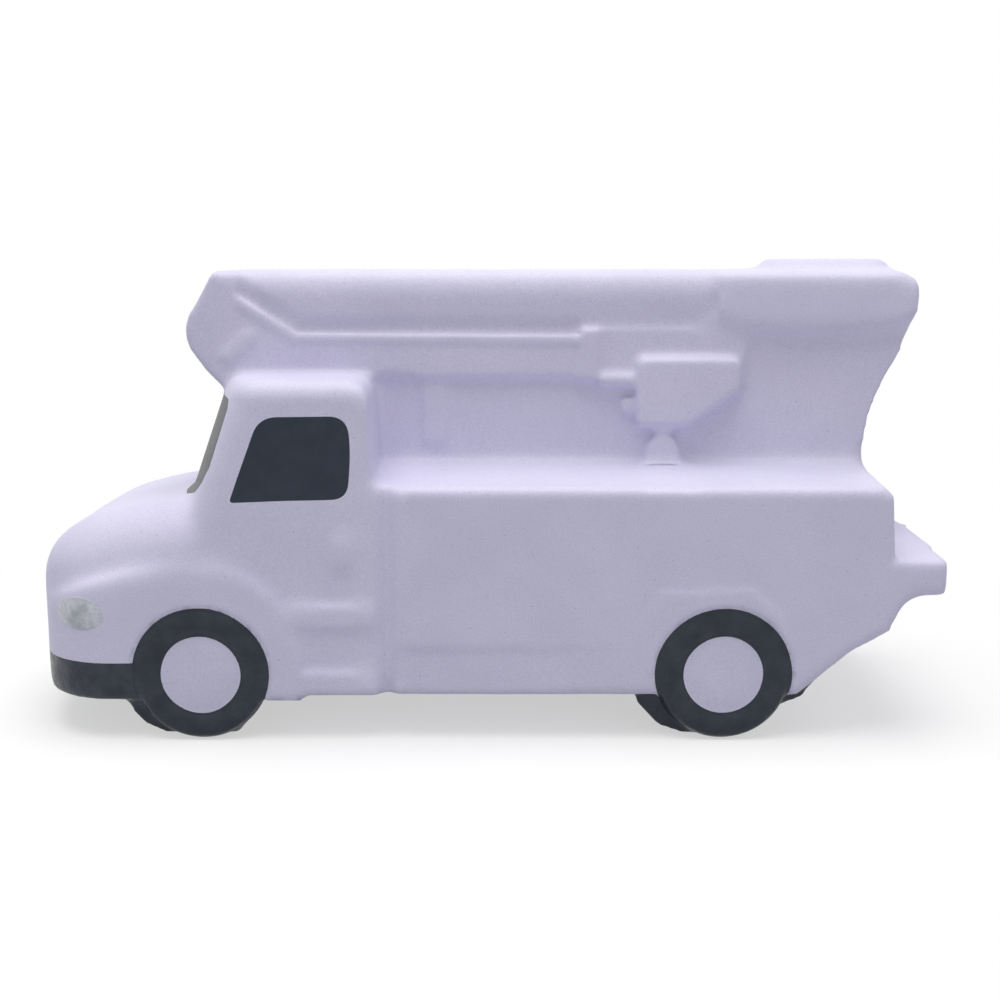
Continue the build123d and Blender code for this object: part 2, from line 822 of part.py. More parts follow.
with BuildPart() as lower_step_left:
    with BuildSketch(Plane.XZ.offset(hood_half_width)):
        with Locations((step_rear_x, lower_step_bottom)):
            Rectangle(step_length, step_height, align=(Align.MAX, Align.MIN))
    extrude(amount=step_proud)
    chamfer(lower_step_left.faces().sort_by(Axis.Y)[0].edges(), step_edge)
    add(fender_left.part, mode=Mode.SUBTRACT)
lower_step_left.part.label = "lower_step_left"
export_step(lower_step_left.part, "parts/lower_step_left.step")

with BuildPart() as lower_step_right:
    mirror(lower_step_left.part, about=Plane.XZ)
lower_step_right.part.label = "lower_step_right"
export_step(lower_step_right.part, "parts/lower_step_right.step")

# Shallow wedge that leaves the skirt line on each side, fading out rearwards
with BuildPart() as skirt_wedge:
    with BuildSketch(Plane.XY):
        with BuildLine():
            Polyline(
                (groove_x, skirt_line_depth - body_half_width),
                (groove_x + skirt_line_length, -body_half_width),
                (groove_x + skirt_line_length, -half_width),
                (groove_x, -half_width),
                close=True,
            )
        make_face()
    extrude(amount=skirt_line_height)
    mirror(about=Plane.XZ)

# Service body with a thin raised panel round each rear wheel
with BuildPart() as service_body:
    add(service_form.part)
    with BuildSketch(Plane.XZ):
        with BuildLine():
            Polyline(
                *[
                    (rear_axle_x + along * tyre_radius, tyre_radius + up * tyre_radius)
                    for along, up in arch_panel_shares
                ],
                close=True,
            )
        make_face()
    extrude(amount=body_half_width + arch_proud, both=True)
    for cut in (cab_form, wheel_space, body_groove, skirt_wedge):
        add(cut.part, mode=Mode.SUBTRACT)
service_body.part.label = "service_body"
export_step(service_body.part, "parts/service_body.step")

with BuildPart() as tail_shelf:
    add(tail_form.part)
    add(service_form.part, mode=Mode.SUBTRACT)
tail_shelf.part.label = "tail_shelf"
export_step(tail_shelf.part, "parts/tail_shelf.step")

# Tyres as revolved sections with sloping shoulders and beads, and the hubs inside them
wheel_inner_y = tyre_width - half_width
front_axle = Axis((front_axle_x, 0, tyre_radius), (0, 1, 0))
with BuildPart() as tyre_front_left:
    with BuildSketch(Plane.YZ.offset(front_axle_x)):
        with BuildLine():
            Polyline(
                (wheel_inner_y, tyre_radius + hub_radius),
                (hub_recess - half_width, tyre_radius + hub_radius),
                (-half_width, tyre_radius + hub_radius + bead_width),
                (-half_width, 2 * tyre_radius - shoulder_width),
                (-body_half_width, 2 * tyre_radius),
                (wheel_inner_y, 2 * tyre_radius),
                close=True,
            )
        make_face()
    revolve(axis=front_axle)
tyre_front_left.part.label = "tyre_front_left"
export_step(tyre_front_left.part, "parts/tyre_front_left.step")

with BuildPart() as hub_front_left:
    with BuildSketch(Plane.XZ.offset(-wheel_inner_y)):
        with Locations((front_axle_x, tyre_radius)):
            Circle(hub_radius)
    extrude(amount=tyre_width - hub_recess)
hub_front_left.part.label = "hub_front_left"
export_step(hub_front_left.part, "parts/hub_front_left.step")

with BuildPart() as tyre_front_right:
    mirror(tyre_front_left.part, about=Plane.XZ)
tyre_front_right.part.label = "tyre_front_right"
export_step(tyre_front_right.part, "parts/tyre_front_right.step")

with BuildPart() as hub_front_right:
    mirror(hub_front_left.part, about=Plane.XZ)
hub_front_right.part.label = "hub_front_right"
export_step(hub_front_right.part, "parts/hub_front_right.step")

with BuildPart() as tyre_rear_left:
    with Locations((wheelbase, 0, 0)):
        add(tyre_front_left.part)
tyre_rear_left.part.label = "tyre_rear_left"
export_step(tyre_rear_left.part, "parts/tyre_rear_left.step")

with BuildPart() as hub_rear_left:
    with Locations((wheelbase, 0, 0)):
        add(hub_front_left.part)
hub_rear_left.part.label = "hub_rear_left"
export_step(hub_rear_left.part, "parts/hub_rear_left.step")

with BuildPart() as tyre_rear_right:
    with Locations((wheelbase, 0, 0)):
        add(tyre_front_right.part)
tyre_rear_right.part.label = "tyre_rear_right"
export_step(tyre_rear_right.part, "parts/tyre_rear_right.step")

with BuildPart() as hub_rear_right:
    with Locations((wheelbase, 0, 0)):
        add(hub_front_right.part)
hub_rear_right.part.label = "hub_rear_right"
export_step(hub_rear_right.part, "parts/hub_rear_right.step")

# Axle lumps that fill the space between the wheels of a pair
axle_half_width = half_width - axle_inset
with BuildPart() as front_axle:
    with BuildSketch(Plane.XZ):
        with BuildLine():
            Polyline(
                *[(front_axle_x + along * tyre_radius, up * tyre_radius) for along, up in front_lump_shares],
                close=True,
            )
        make_face()
    extrude(amount=axle_half_width, both=True)
    for cut in (wheel_space, hood_form, cab_form, bumper):
        add(cut.part, mode=Mode.SUBTRACT)
front_axle.part.label = "front_axle"
export_step(front_axle.part, "parts/front_axle.step")

with BuildPart() as rear_axle:
    with BuildSketch(Plane.XZ):
        with BuildLine():
            Polyline(
                *[(rear_axle_x + along * tyre_radius, up * tyre_radius) for along, up in rear_lump_shares],
                close=True,
            )
        make_face()
    extrude(amount=axle_half_width, both=True)
    for cut in (wheel_space, service_form):
        add(cut.part, mode=Mode.SUBTRACT)
rear_axle.part.label = "rear_axle"
export_step(rear_axle.part, "parts/rear_axle.step")
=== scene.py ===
import json
import math

import bmesh
import bpy
import numpy as np
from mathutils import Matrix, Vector, noise


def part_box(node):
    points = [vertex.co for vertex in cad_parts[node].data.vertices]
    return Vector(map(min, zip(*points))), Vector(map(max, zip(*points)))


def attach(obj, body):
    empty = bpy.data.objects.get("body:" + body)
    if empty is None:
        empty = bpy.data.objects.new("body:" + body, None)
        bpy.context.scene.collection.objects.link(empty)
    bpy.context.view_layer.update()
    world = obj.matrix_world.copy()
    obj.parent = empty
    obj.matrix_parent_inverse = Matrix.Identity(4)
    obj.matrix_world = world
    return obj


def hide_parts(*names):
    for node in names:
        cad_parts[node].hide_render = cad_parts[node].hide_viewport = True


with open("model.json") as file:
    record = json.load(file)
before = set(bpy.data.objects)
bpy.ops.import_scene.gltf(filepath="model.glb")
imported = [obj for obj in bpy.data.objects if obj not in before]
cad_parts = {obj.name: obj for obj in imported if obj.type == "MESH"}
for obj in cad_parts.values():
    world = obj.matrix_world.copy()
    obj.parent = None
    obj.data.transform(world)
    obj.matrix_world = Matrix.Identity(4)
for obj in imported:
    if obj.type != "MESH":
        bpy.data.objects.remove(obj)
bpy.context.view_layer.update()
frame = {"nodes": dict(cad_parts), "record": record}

# The wandering edges are drawn the same way each run
noise.seed_set(7)

scene = bpy.context.scene
scene.view_settings.view_transform = "Standard"
rows = frame["record"]["subparts"]
slot_of = {row["node"]: row["material_slot"] for row in rows}

# Lengths are in metres: x runs from nose to tail, y from the near to the far side, z up
LENGTHWISE = 0
CROSSWISE = 1

# Planes outside the toy, where a cutter that runs right through it starts or ends
AHEAD = -0.07
BEHIND = 0.07
BELOW = -0.01
ABOVE = 0.08
ASIDE = 0.04

# How far a cutter reaches past its solid, and how far a painted edge wanders
REACH = 0.0005
BRUSH_WAVER = 0.00013
FINE_WAVER = 0.0001
SCREEN_WAVER = 0.00016
WAVER_SCALE = 170.0

# Limits for clean meshes: weld distance, face area, edge length, volume of a stray film
WELD = 1e-7
LEAST_AREA = 1e-12
LONG_EDGE = 0.0012
FILM_VOLUME = 0.3e-9

VOXEL = 0.0004
SOFTEN_PASSES = 6
MELT_PASSES = 60

# Camera at the photograph's viewing angle
camera_data = bpy.data.cameras.new("camera")
camera_data.sensor_width = 36.0
camera_data.lens = 48.6
camera_data.clip_start = 0.01
camera_data.clip_end = 10.0
camera = bpy.data.objects.new("camera", camera_data)
scene.collection.objects.link(camera)
camera.location = (0.0025, -0.187, 0.0621)
camera.rotation_euler = (math.radians(90.0 - 10.4), 0.0, 0.0)
scene.camera = camera


# Mesh helpers
def placed(name, mesh):
    thing = bpy.data.objects.new(name, mesh)
    scene.collection.objects.link(thing)
    return thing


def closed(name, form):
    bmesh.ops.triangulate(form, faces=form.faces)
    mesh = bpy.data.meshes.new(name)
    form.to_mesh(mesh)
    form.free()
    return placed(name, mesh)


def evaluated(thing):
    depsgraph = bpy.context.evaluated_depsgraph_get()
    mesh = bpy.data.meshes.new_from_object(thing.evaluated_get(depsgraph))
    thing.modifiers.clear()
    return mesh


def smoothed(thing, name, passes, group_name=""):
    smooth = thing.modifiers.new(name, "SMOOTH")
    smooth.factor = 0.5
    smooth.iterations = passes
    smooth.vertex_group = group_name
    return evaluated(thing)


def cut(thing, cutter, operation):
    knife = thing.modifiers.new("knife", "BOOLEAN")
    knife.solver = "MANIFOLD"
    knife.operation = operation
    knife.material_mode = "TRANSFER"
    knife.object = cutter
    return evaluated(thing)


# A cutter parts a block in two: what lies inside it, and the rest, which stays the block
def split(name, block, cutter):
    part = placed(name, cut(block, cutter, "INTERSECT"))
    block.data = cut(block, cutter, "DIFFERENCE")
    bpy.data.objects.remove(cutter)
    return part


pieces = {}


def carve(name, block, cutter):
    pieces[name] = split(name + ".foam", block, cutter)


def wavered(form, amount):
    for vertex in form.verts:
        vertex.co += noise.noise_vector(vertex.co * WAVER_SCALE) * amount


# A straight cutter with a flat outline, from low to high along the axis
def prism(outline, axis, low, high, waver=0.0):
    form = bmesh.new()
    rings = []
    for level in (low, high):
        ring = []
        for pair in outline:
            place = list(pair)
            place.insert(axis, level)
            ring.append(form.verts.new(place))
        rings.append(ring)
    near, far = rings
    form.faces.new(near)
    form.faces.new(list(reversed(far)))
    for index in range(len(outline)):
        form.faces.new((near[index], near[index - 1], far[index - 1], far[index]))
    bmesh.ops.recalc_face_normals(form, faces=form.faces)
    wavered(form, waver)
    return closed("cutter", form)


# A crosswise cutter on one side only, between two distances from the middle
def slab(outline, side, inner, outer, waver):
    low, high = sorted((side * inner, side * outer))
    return prism(outline, CROSSWISE, low, high, waver)


# A cutter that is a solid pushed out by an amount, all over or where the weight says so
def grown(name, amount, weight=None, waver=0.0):
    form = bmesh.new()
    form.from_mesh(frame["nodes"][name].data)
    bmesh.ops.remove_doubles(form, verts=form.verts, dist=WELD)
    form.normal_update()
    farthest = 2.0 * amount
    moves = []
    for vertex in form.verts:
        normals = [face.normal for face in vertex.link_faces if face.calc_area() > LEAST_AREA]
        if not normals:
            moves.append(Vector((0.0, 0.0, 0.0)))
            continue
        wanted = [amount * (weight(normal) if weight else 1.0) for normal in normals]
        move = Vector(np.linalg.lstsq(np.array(normals), np.array(wanted), rcond=0.25)[0])
        if move.length > farthest:
            move *= farthest / move.length
        moves.append(move)
    for vertex, move in zip(form.verts, moves):
        vertex.co += move
    if waver:
        for _ in range(4):
            long_edges = [edge for edge in form.edges if edge.calc_length() > LONG_EDGE]
            bmesh.ops.subdivide_edges(form, edges=long_edges, cuts=1)
            bmesh.ops.triangulate(form, faces=form.faces)
        wavered(form, waver)
    return closed("cutter", form)


def facing_forward(normal):
    aim = Vector((-1.0, 0.0, 0.3)).normalized()
    return 1.0 if normal.dot(aim) > 0.6 else 0.0


def not_facing_up(normal):
    return 1.0 if normal.z < 0.3 else 0.0


# Outlines seen from the side, as pairs of x and z
def side_view(box):
    low, high = box
    centre = ((low.x + high.x) / 2.0, (low.z + high.z) / 2.0)
    half = ((high.x - low.x) / 2.0, (high.z - low.z) / 2.0)
    return centre, half


def rectangle(low_x, high_x, low_z, high_z):
    return [(low_x, low_z), (high_x, low_z), (high_x, high_z), (low_x, high_z)]


def ellipse(centre, half, steps):
    outline = []
    for step in range(steps):
        angle = 2.0 * math.pi * step / steps
        along = centre[0] + half[0] * math.cos(angle)
        up = centre[1] + half[1] * math.sin(angle)
        outline.append((along, up))
    return outline


def rounded(corners):
    outline = []
    for index, (place, radius) in enumerate(corners):
        here = np.array(place)
        before = np.array(corners[index - 1][0]) - here
        after = np.array(corners[(index + 1) % len(corners)][0]) - here
        start = here + before / np.hypot(*before) * radius
        end = here + after / np.hypot(*after) * radius
        for step in range(9):
            t = step / 8
            outline.append((1 - t) ** 2 * start + 2 * t * (1 - t) * here + t * t * end)
    return outline


# Fields over the skin's points
def read_points(mesh, field):
    values = np.empty(len(mesh.vertices) * 3, np.float32)
    mesh.vertices.foreach_get(field, values)
    return values.reshape(-1, 3)


def ramp(value, low, high):
    share = np.clip((value - low) / (high - low), 0.0, 1.0)
    return share * share * (3.0 - 2.0 * share)


def band(value, low, high, fade):
    return ramp(value, low - fade, low) * ramp(-value, -high - fade, -high)


def wheel_centre(end):
    return side_view(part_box(f"tyre_{end}_left"))[0]


# The moulded skin, one soft surface over the whole toy
form = bmesh.new()
for row in rows:
    form.from_mesh(frame["nodes"][row["node"]].data)
bmesh.ops.remove_doubles(form, verts=form.verts, dist=WELD)
skin_mesh = bpy.data.meshes.new("skin")
form.to_mesh(skin_mesh)
form.free()
skin = placed("skin", skin_mesh)
remesh = skin.modifiers.new("remesh", "REMESH")
remesh.mode = "VOXEL"
remesh.voxel_size = VOXEL
remesh.use_smooth_shade = True
skin.data = smoothed(skin, "soften", SOFTEN_PASSES)

x, y, z = read_points(skin.data, "co").T
from_middle = np.abs(y)


# A zone where the moulding is softer: its limits and fade along x, then those along z
def zone(low_x, high_x, fade_x, low_z, high_z, fade_z):
    return band(x, low_x, high_x, fade_x) * band(z, low_z, high_z, fade_z)


# Crest over the front fender, not at the tyre, and weaker towards the door
wheel_x, wheel_z = wheel_centre("front")
off_tyre = ramp(np.hypot(x - wheel_x, z - wheel_z), 0.0095, 0.0107)
crest = zone(-0.062, -0.023, 0.003, 0.0135, 0.0255, 0.0025)
crest = crest * off_tyre * (1.0 - 0.7 * ramp(x, -0.038, -0.031))

# Foot of the cab on the hood, and the upright groove behind the cab
cab_foot = zone(-0.043, -0.031, 0.002, 0.024, 0.0325, 0.002)
groove = zone(-0.0155, -0.0095, 0.001, 0.008, 0.046, 0.001) * 0.7

# Foot of the web on the ledge, and the lower edge of the bucket
ledge_foot = zone(-0.011, 0.058, 0.0015, 0.0336, 0.0366, 0.0008)
ledge_foot = ledge_foot * band(from_middle, 0.0055, 0.012, 0.0015)
bucket_edge = zone(0.0295, 0.06, 0.0015, 0.0502, 0.0537, 0.0008)

# Knob below the lift cylinder, and the door handle
knob = zone(0.0207, 0.0276, 0.0006, 0.033, 0.0393, 0.0006) * 0.6
handle = zone(-0.0205, -0.0146, 0.0006, 0.0212, 0.028, 0.0006)
handle = handle * ramp(from_middle, 0.018, 0.019) * 0.6

# Upper edge of the boom, chin at the bumper, and the tail shelf
boom_top = band(x, -0.034, 0.056, 0.001) * ramp(z, 0.0562, 0.0576) * ramp(-z, -0.0606, -0.0602)
chin = zone(-0.062, -0.043, 0.001, 0.004, 0.0066, 0.0008) * 0.4
shelf = zone(0.0545, 0.062, 0.001, 0.014, 0.026, 0.001) * 0.25

softness = [crest, cab_foot, groove, ledge_foot, bucket_edge, knob, handle, boom_top, chin, shelf]
softness = np.max(softness, axis=0)
group = skin.vertex_groups.new(name="soft")
for index in np.nonzero(softness > 0.02)[0]:
    group.add([int(index)], float(softness[index]), "REPLACE")
skin.data = smoothed(skin, "melt", MELT_PASSES, group.name)
skin.vertex_groups.clear()

# Uneven swell of the foam
SWELL_SCALE = 150.0
SWELL_DEPTH = 0.00006
places = read_points(skin.data, "co")
normals = read_points(skin.data, "normal")
x, y, z = places.T
from_middle = np.abs(y)
swell = np.array([noise.noise(Vector(place) * SWELL_SCALE) for place in places]) * SWELL_DEPTH

# Domed headlights
DOME_HEIGHT = 0.0004
centre, half = side_view(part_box("headlight_left"))
lamp_x = (x - centre[0]) / half[0]
lamp_z = (z - centre[1]) / half[1]
dome = np.clip(1.0 - lamp_x**2 - lamp_z**2, 0.0, 1.0) * ramp(from_middle, 0.014, 0.0165)
swell = swell + DOME_HEIGHT * dome

# Tyres that round off towards both rims, around hubs that round off towards theirs
HUB_EDGE = 0.0051
TREAD_MIDDLE = 0.0069
TREAD_HALF = 0.0018
TREAD_DROP = -0.0003
HUB_DROP = -0.0002
for end in ("front", "rear"):
    wheel_x, wheel_z = wheel_centre(end)
    radius = np.hypot(x - wheel_x, z - wheel_z)
    side_face = ramp(from_middle, 0.0196, 0.0203) * ramp(-radius, -0.0092, -0.0087)
    on_tread = TREAD_DROP * (np.abs(radius - TREAD_MIDDLE) / TREAD_HALF) ** 2.5
    on_hub = HUB_DROP * (radius / HUB_EDGE) ** 4
    swell = swell + np.where(radius > HUB_EDGE, on_tread, on_hub) * side_face

# The upper boom's side is hollow above the proud edge of the elbow and lower boom, with a bead
# along that edge, which is level over the elbow, slopes down behind it and is level again
HOLLOW_DEPTH = -0.0006
BEAD_HEIGHT = 0.0002
edge_x = [-0.045, -0.0329, -0.0243, 0.0128, 0.0305]
edge_z = [0.0572, 0.0572, 0.0518, 0.0515, 0.0515]
slope_start, slope_end = edge_x[1:3]
above = z - np.interp(x, edge_x, edge_z)
above = above * np.where(x < slope_end, 0.82, 1.0)
along = band(x, slope_start + 0.0015, 0.0125, 0.0012) * ramp(from_middle, 0.0066, 0.0074)
hollow = HOLLOW_DEPTH * ramp(-above, -0.0026, -0.0001) * ramp(above, -0.0002, 0.0002)
bead = BEAD_HEIGHT * band(above, -0.0012, -0.0004, 0.0005)
swell = swell + (hollow + bead) * along
places = places + normals * swell[:, None]

# The boom narrows towards its top
ROLL_SHARE = 0.14
roll = band(x, -0.03, 0.029, 0.003) * ramp(z, 0.0543, 0.0606) ** 2
places[:, 1] *= 1.0 - ROLL_SHARE * roll

# The tail shelf stays within its solid's sides, top and bottom
on_shelf = (x > 0.0556) & (z < 0.03)
shelf_low, shelf_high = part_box("tail_shelf")
for axis in (1, 2):
    held = np.clip(places[:, axis], shelf_low[axis], shelf_high[axis])
    places[:, axis] = np.where(on_shelf, held, places[:, axis])
skin.data.vertices.foreach_set("co", places.astype(np.float32).ravel())
skin.data.update()

# The uncut skin's normals go with every piece, so no seam shows
CARRIED = "skin_normal"
vertex_normals = read_points(skin.data, "normal")
corner_vertices = np.empty(len(skin.data.loops), np.int32)
skin.data.loops.foreach_get("vertex_index", corner_vertices)
carried = skin.data.attributes.new(CARRIED, "FLOAT_VECTOR", "CORNER")
carried.data.foreach_set("vector", vertex_normals[corner_vertices].ravel())

# Booms over the whole length
for name in ("upper_boom", "lower_boom", "elbow"):
    carve(name, skin, grown(name, REACH))

# Three blocks: the front, what stands on the rear, and the rear that is left
REAR_START = -0.0123
front_outline = rectangle(AHEAD, REAR_START, BELOW, ABOVE)
front = split("front", skin, prism(front_outline, CROSSWISE, -ASIDE, ASIDE))
gable = [(-0.03, 0.0322), (0.0, 0.0352), (0.03, 0.0322), (0.03, ABOVE), (-0.03, ABOVE)]
top = split("top", skin, prism(gable, LENGTHWISE, -0.02, BEHIND))
rear = skin

# Wheels: the hub, then the painted ring of the tyre
WHEEL_INNER = 0.01295
WHEEL_OUTER = 0.023
WHEEL_STEPS = 120
TYRE_REACH = 0.0001
for end, block in (("front", front), ("rear", rear)):
    for hand, side in (("left", -1.0), ("right", 1.0)):
        centre, half = side_view(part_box(f"tyre_{end}_{hand}"))
        hub_radius = side_view(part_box(f"hub_{end}_{hand}"))[1][0]
        tyre_radius = half[0] + TYRE_REACH
        for kind, radius in (("hub", hub_radius), ("tyre", tyre_radius)):
            outline = ellipse(centre, (radius, radius), WHEEL_STEPS)
            disc = slab(outline, side, WHEEL_INNER, WHEEL_OUTER, BRUSH_WAVER)
            carve(f"{kind}_{end}_{hand}", block, disc)

# Axle lumps and bumper
for name, block in (("front_axle", front), ("rear_axle", rear)):
    carve(name, block, grown(name, REACH, not_facing_up))
bumper_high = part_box("bumper")[1]
bumper_outline = [(AHEAD, BELOW), (bumper_high.x, BELOW), (bumper_high.x, bumper_high.z)]
bumper_outline += [(bumper_high.x - step * 0.0013, bumper_high.z) for step in range(1, 20)]
carve("bumper", front, prism(bumper_outline, CROSSWISE, -ASIDE, ASIDE, BRUSH_WAVER))

# Windscreen, with its lower corners taken off by rounded wedges
glass = grown("windscreen", 0.0007, facing_forward, SCREEN_WAVER)
for side in (-1.0, 1.0):
    corner = [(0.0095, 0.0285), (0.0095, 0.0303), (0.0145, 0.0314), (0.0172, 0.0332)]
    corner += [(0.0186, 0.0356), (0.024, 0.0356), (0.024, 0.0285)]
    wedge = prism([(side * across, up) for across, up in corner], LENGTHWISE, -0.06, -0.02)
    glass.data = cut(glass, wedge, "DIFFERENCE")
    bpy.data.objects.remove(wedge)
carve("windscreen", front, glass)

# Headlights, and side windows by their corners, each with the length of its rounding
window_outline = rounded(
    [
        ((-0.0316, 0.0311), 0.0006),
        ((-0.0293, 0.0373), 0.0022),
        ((-0.0276, 0.0419), 0.0024),
        ((-0.0165, 0.042), 0.0024),
        ((-0.0162, 0.0371), 0.0022),
        ((-0.0167, 0.0315), 0.0021),
        ((-0.024, 0.0313), 0.0028),
    ]
)
for hand, side in (("left", -1.0), ("right", 1.0)):
    centre, half = side_view(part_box(f"headlight_{hand}"))
    lens = slab(ellipse(centre, half, 72), side, 0.0166, 0.024, FINE_WAVER)
    carve(f"headlight_{hand}", front, lens)
    pane = slab(window_outline, side, 0.0193, 0.022, FINE_WAVER)
    carve(f"side_window_{hand}", front, pane)

# Foam relief on the front, the rear and the top
for hand in ("left", "right"):
    for name in ("door_handle", "upper_step", "lower_step", "fender"):
        carve(f"{name}_{hand}", front, grown(f"{name}_{hand}", REACH))
shelf_outline = rectangle(0.0532, BEHIND, 0.0145, 0.027)
carve("tail_shelf", rear, prism(shelf_outline, CROSSWISE, -ASIDE, ASIDE))
for name in (
    "cylinder_lug",
    "lift_cylinder",
    "boom_bracket",
    "boom_plate",
    "boom_rest",
    "turntable",
    "turret",
    "bucket",
):
    carve(name, top, grown(name, REACH))
hood_outline = rectangle(AHEAD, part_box("cab")[0].x, BELOW, ABOVE)
carve("hood_nose", front, prism(hood_outline, CROSSWISE, -ASIDE, ASIDE))

# What is left of each block is a piece too
for name, block in (("cab", front), ("service_body", rear), ("boom_web", top)):
    pieces[name] = block
    block.name = name + ".foam"

# Colours
WHITE = (1.0, 1.0, 1.0, 1.0)
FOAM_DEEP = (0.668, 0.646, 0.815, 1.0)
FOAM_PALE = (0.702, 0.68, 0.848, 1.0)
# The pore colour is painted shade in the pits
FOAM_PORE_SHADE = (0.4, 0.39, 0.5, 1.0)
FOAM_GRAIN = (0.3, 0.29, 0.4, 1.0)
FOAM_SPRAY = (0.2, 0.24, 0.3, 1.0)
FOAM_SPECK = (0.06, 0.06, 0.08, 1.0)
PAINT_WORN = (0.2, 0.21, 0.26, 1.0)
# Windscreen greys: dark paint made lighter than the window paint, partly as painted reflection
SCREEN_PAINT_AND_REFLECTION_DEEP = (0.105, 0.108, 0.12, 1.0)
SCREEN_PAINT_AND_REFLECTION_PALE = (0.15, 0.152, 0.168, 1.0)
SCREEN_SPECKLE = (0.04, 0.042, 0.05, 1.0)
SILVER_DEEP = (0.46, 0.475, 0.53, 1.0)
SILVER_PALE = (0.56, 0.575, 0.63, 1.0)
SILVER_THIN = (0.27, 0.3, 0.32, 1.0)


# Material helpers
def started(name, roughness, specular):
    material = bpy.data.materials.new(name)
    material.use_nodes = True
    shader = material.node_tree.nodes["Principled BSDF"]
    shader.inputs["Roughness"].default_value = roughness
    shader.inputs["Specular IOR Level"].default_value = specular
    return material, material.node_tree, shader


def put(tree, kind, values=(), **settings):
    made = tree.nodes.new(kind)
    for key, value in settings.items():
        setattr(made, key, value)
    for socket, value in values:
        if isinstance(value, bpy.types.NodeSocket):
            tree.links.new(value, made.inputs[socket])
        else:
            made.inputs[socket].default_value = value
    return made


def own_place(tree):
    return put(tree, "ShaderNodeTexCoord").outputs["Object"]


def clouds(tree, place, scale, detail):
    values = [("Vector", place), ("Scale", scale), ("Detail", detail)]
    return put(tree, "ShaderNodeTexNoise", values).outputs[0]


def ranged(tree, value, low, high, to_low, to_high):
    values = [(0, value), (1, low), (2, high), (3, to_low), (4, to_high)]
    return put(tree, "ShaderNodeMapRange", values).outputs[0]


def math_of(tree, operation, first, second):
    values = [(0, first), (1, second)]
    return put(tree, "ShaderNodeMath", values, operation=operation).outputs[0]


def times(tree, first, second):
    return math_of(tree, "MULTIPLY", first, second)


def mixed(tree, factor, first, second):
    values = [(0, factor), (6, first), (7, second)]
    return put(tree, "ShaderNodeMix", values, data_type="RGBA").outputs[2]


def cells(tree, place, scale):
    made = put(tree, "ShaderNodeTexVoronoi", [("Vector", place), ("Scale", scale)])
    chance = put(tree, "ShaderNodeSeparateColor", [(0, made.outputs["Color"])]).outputs[0]
    return made.outputs["Distance"], chance


# Round dots in a share of the cells
def dots(tree, place, scale, radius, share):
    distance, chance = cells(tree, place, scale)
    near = ranged(tree, distance, radius * 0.6, radius, 1.0, 0.0)
    chosen = ranged(tree, chance, 1.0 - share, 1.0 - share + 0.02, 0.0, 1.0)
    return times(tree, near, chosen)


def relief(tree, shader, height, distance):
    values = [("Height", height), ("Distance", distance), ("Strength", 1.0)]
    bump = put(tree, "ShaderNodeBump", values)
    tree.links.new(bump.outputs["Normal"], shader.inputs["Normal"])


# Fine grain, broader unevenness and small pores
def foam_heights(tree, place):
    grain = clouds(tree, place, 3600.0, 2.0)
    peel = clouds(tree, place, 420.0, 2.0)
    heights = math_of(tree, "ADD", times(tree, grain, 0.7), peel)
    pores = dots(tree, place, 900.0, 0.13, 0.25)
    return math_of(tree, "SUBTRACT", heights, times(tree, pores, 0.7)), pores


# A faint cloud of paint along the lowest edge and around the tyres
def overspray(tree, place):
    parts = put(tree, "ShaderNodeSeparateXYZ", [(0, place)])
    uneven = ranged(tree, clouds(tree, place, 700.0, 3.0), 0.42, 0.7, 0.0, 1.0)
    low = ranged(tree, parts.outputs["Z"], 0.0048, 0.0063, 0.8, 0.0)
    rings = []
    for end in ("front", "rear"):
        wheel_x, wheel_z = wheel_centre(end)
        level = [(0, parts.outputs["X"]), (2, parts.outputs["Z"])]
        flat = put(tree, "ShaderNodeCombineXYZ", level).outputs[0]
        pair = [(0, flat), (1, (wheel_x, 0.0, wheel_z))]
        away = put(tree, "ShaderNodeVectorMath", pair, operation="DISTANCE").outputs["Value"]
        ring = ranged(tree, away, 0.0087, 0.0094, 0.7, 0.0)
        outside = ranged(tree, away, 0.0084, 0.0085, 0.0, 1.0)
        rings.append(times(tree, ring, outside))
        low = times(tree, low, outside)
    near = math_of(tree, "MAXIMUM", low, math_of(tree, "MAXIMUM", rings[0], rings[1]))
    return times(tree, near, uneven)


# Materials
def foam_material():
    material, tree, shader = started("foam", 0.5, 0.35)
    place = own_place(tree)
    tone = ranged(tree, clouds(tree, place, 95.0, 4.0), 0.35, 0.65, 0.0, 1.0)
    colour = mixed(tree, tone, FOAM_DEEP, FOAM_PALE)
    heights, pores = foam_heights(tree, place)
    # Pores darkened in colour: painted shade in the pits
    colour = mixed(tree, times(tree, pores, 0.3), colour, FOAM_PORE_SHADE)
    grain = ranged(tree, clouds(tree, place, 4200.0, 1.0), 0.3, 0.7, 0.0, 0.17)
    colour = mixed(tree, grain, colour, FOAM_GRAIN)
    colour = mixed(tree, overspray(tree, place), colour, FOAM_SPRAY)
    specks = dots(tree, place, 100.0, 0.02, 0.09)
    colour = mixed(tree, times(tree, specks, 0.8), colour, FOAM_SPECK)
    tree.links.new(colour, shader.inputs["Base Color"])
    relief(tree, shader, heights, 0.00004)
    return material


def paint_material(name, dark, light, roughness):
    material, tree, shader = started(name, roughness, 0.34)
    place = own_place(tree)
    tone = ranged(tree, clouds(tree, place, 420.0, 6.0), 0.38, 0.7, 0.0, 1.0)
    colour = mixed(tree, tone, (*dark, 1.0), (*light, 1.0))
    worn = dots(tree, place, 330.0, 0.045, 0.12)
    colour = mixed(tree, times(tree, worn, 0.4), colour, PAINT_WORN)
    tree.links.new(colour, shader.inputs["Base Color"])
    sheen = clouds(tree, place, 500.0, 3.0)
    gloss = ranged(tree, sheen, 0.3, 0.7, roughness - 0.07, roughness + 0.1)
    tree.links.new(gloss, shader.inputs["Roughness"])
    heights, _ = foam_heights(tree, place)
    strokes = times(tree, clouds(tree, place, 640.0, 4.0), 2.0)
    relief(tree, shader, math_of(tree, "ADD", heights, strokes), 0.00007)
    return material


